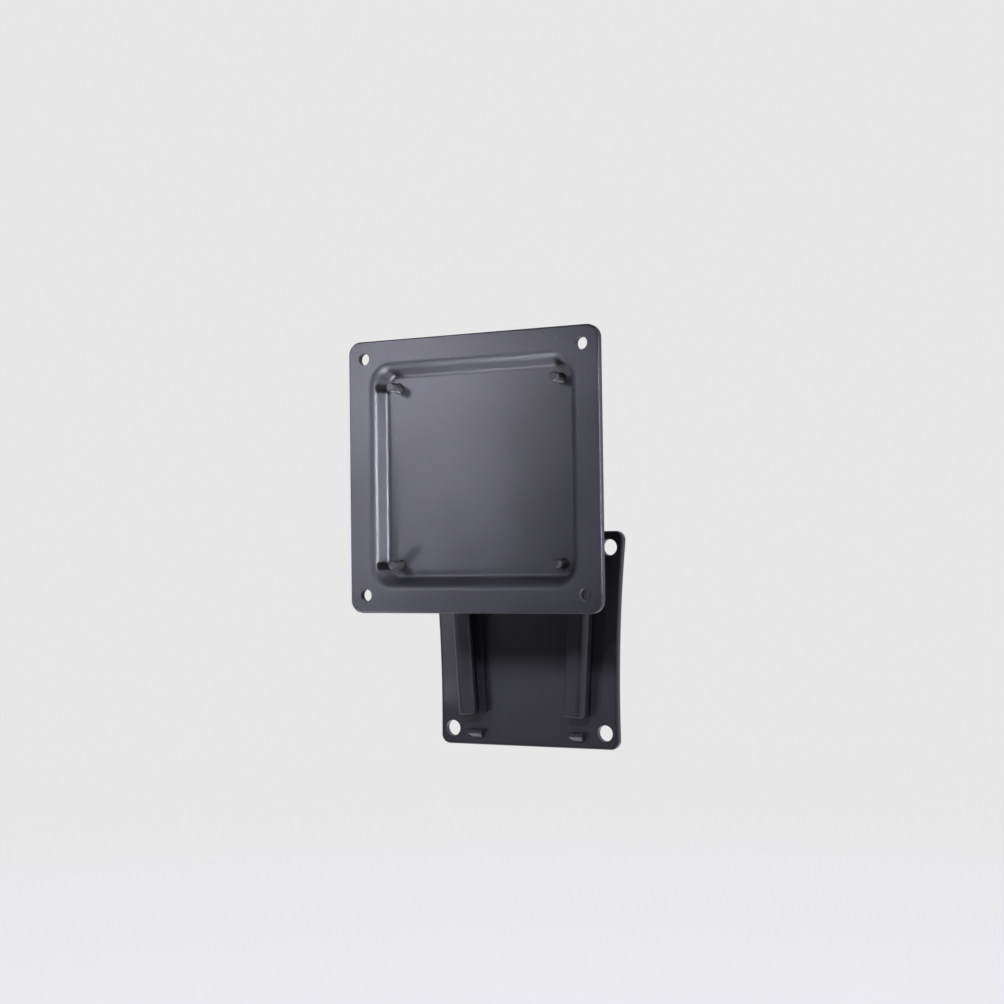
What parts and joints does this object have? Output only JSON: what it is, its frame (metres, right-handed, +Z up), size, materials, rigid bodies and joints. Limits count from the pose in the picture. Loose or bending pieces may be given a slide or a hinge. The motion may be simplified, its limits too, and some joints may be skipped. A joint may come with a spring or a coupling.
{
  "type": "tv wall mount",
  "caption": "Steel drop-in wall mount for a small screen: a dished screen plate with brackets that slide down into tapered guide rails on a flat wall plate.",
  "frame": {"origin": "centre of the wall plate's back face, which lies against the wall", "axes": "+X to the right as seen from the room, +Y into the wall, +Z up, the way the screen plate is lifted"},
  "size_m": [0.115, 0.055, 0.1751],
  "materials": {
    "black_paint": "satin",
    "screw_steel": "dark plated"
  },
  "bodies": {
    "wall_side": {"wall_plate": "black_paint", "left_guide_rail": "black_paint", "right_guide_rail": "black_paint"},
    "screen_side": {"screen_plate": "black_paint", "left_slide_bracket": "black_paint", "right_slide_bracket": "black_paint", "bracket_screws": "screw_steel"}
  },
  "joints": [
    {"name": "screen_slide", "type": "slide", "parent": "wall_side", "child": "screen_side", "axis": [0, 0, 1], "range_m": [-0.0622, 0.007]}
  ]
}
